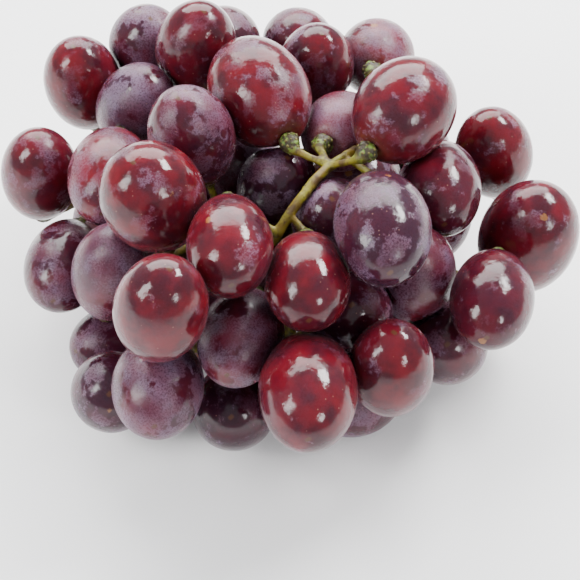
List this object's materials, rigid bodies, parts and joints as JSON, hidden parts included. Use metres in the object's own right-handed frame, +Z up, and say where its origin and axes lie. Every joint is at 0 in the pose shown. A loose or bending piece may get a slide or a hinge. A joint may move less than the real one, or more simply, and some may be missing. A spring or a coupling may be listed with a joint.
{
  "type": "bunch of grapes",
  "caption": "Bunch of red table grapes on a branched green stalk, lying on its side as picked, with its bare peduncle behind; fresh fruit to rest in a bowl, on a board or on a table.",
  "frame": {"origin": "on the surface that the bunch lies on, under the middle of its bounding box", "axes": "+Z up, away from the surface; +Y towards the cut end of the peduncle, at the back; +X to the right seen from the front, where the sprig shows"},
  "size_m": [0.1572, 0.1608, 0.0854],
  "materials": {
    "grape_skin": "thin glossy red skin with patches of pale bloom",
    "stalk": "matt yellow-green, browner and warty at the knobs"
  },
  "bodies": {
    "root": {"stalk": "stalk", "grape_01": "grape_skin", "grape_02": "grape_skin", "grape_03": "grape_skin", "grape_04": "grape_skin", "grape_05": "grape_skin", "grape_06": "grape_skin", "grape_07": "grape_skin", "grape_08": "grape_skin", "grape_09": "grape_skin", "grape_10": "grape_skin", "grape_11": "grape_skin", "grape_12": "grape_skin", "grape_13": "grape_skin", "grape_14": "grape_skin", "grape_15": "grape_skin", "grape_16": "grape_skin", "grape_17": "grape_skin", "grape_18": "grape_skin", "grape_19": "grape_skin", "grape_20": "grape_skin", "grape_21": "grape_skin", "grape_22": "grape_skin", "grape_23": "grape_skin", "grape_24": "grape_skin", "grape_25": "grape_skin", "grape_26": "grape_skin", "grape_27": "grape_skin", "grape_28": "grape_skin", "grape_29": "grape_skin", "grape_30": "grape_skin", "grape_31": "grape_skin", "grape_32": "grape_skin", "grape_33": "grape_skin", "grape_34": "grape_skin", "grape_35": "grape_skin", "grape_36": "grape_skin", "grape_37": "grape_skin", "grape_38": "grape_skin", "grape_39": "grape_skin", "grape_40": "grape_skin", "grape_41": "grape_skin", "grape_42": "grape_skin", "grape_43": "grape_skin", "grape_44": "grape_skin", "grape_45": "grape_skin", "grape_46": "grape_skin", "grape_47": "grape_skin", "grape_48": "grape_skin", "grape_49": "grape_skin", "grape_50": "grape_skin", "grape_51": "grape_skin", "grape_52": "grape_skin", "grape_53": "grape_skin", "grape_54": "grape_skin", "grape_55": "grape_skin", "grape_56": "grape_skin", "grape_57": "grape_skin", "grape_58": "grape_skin", "grape_59": "grape_skin"}
  },
  "joints": []
}
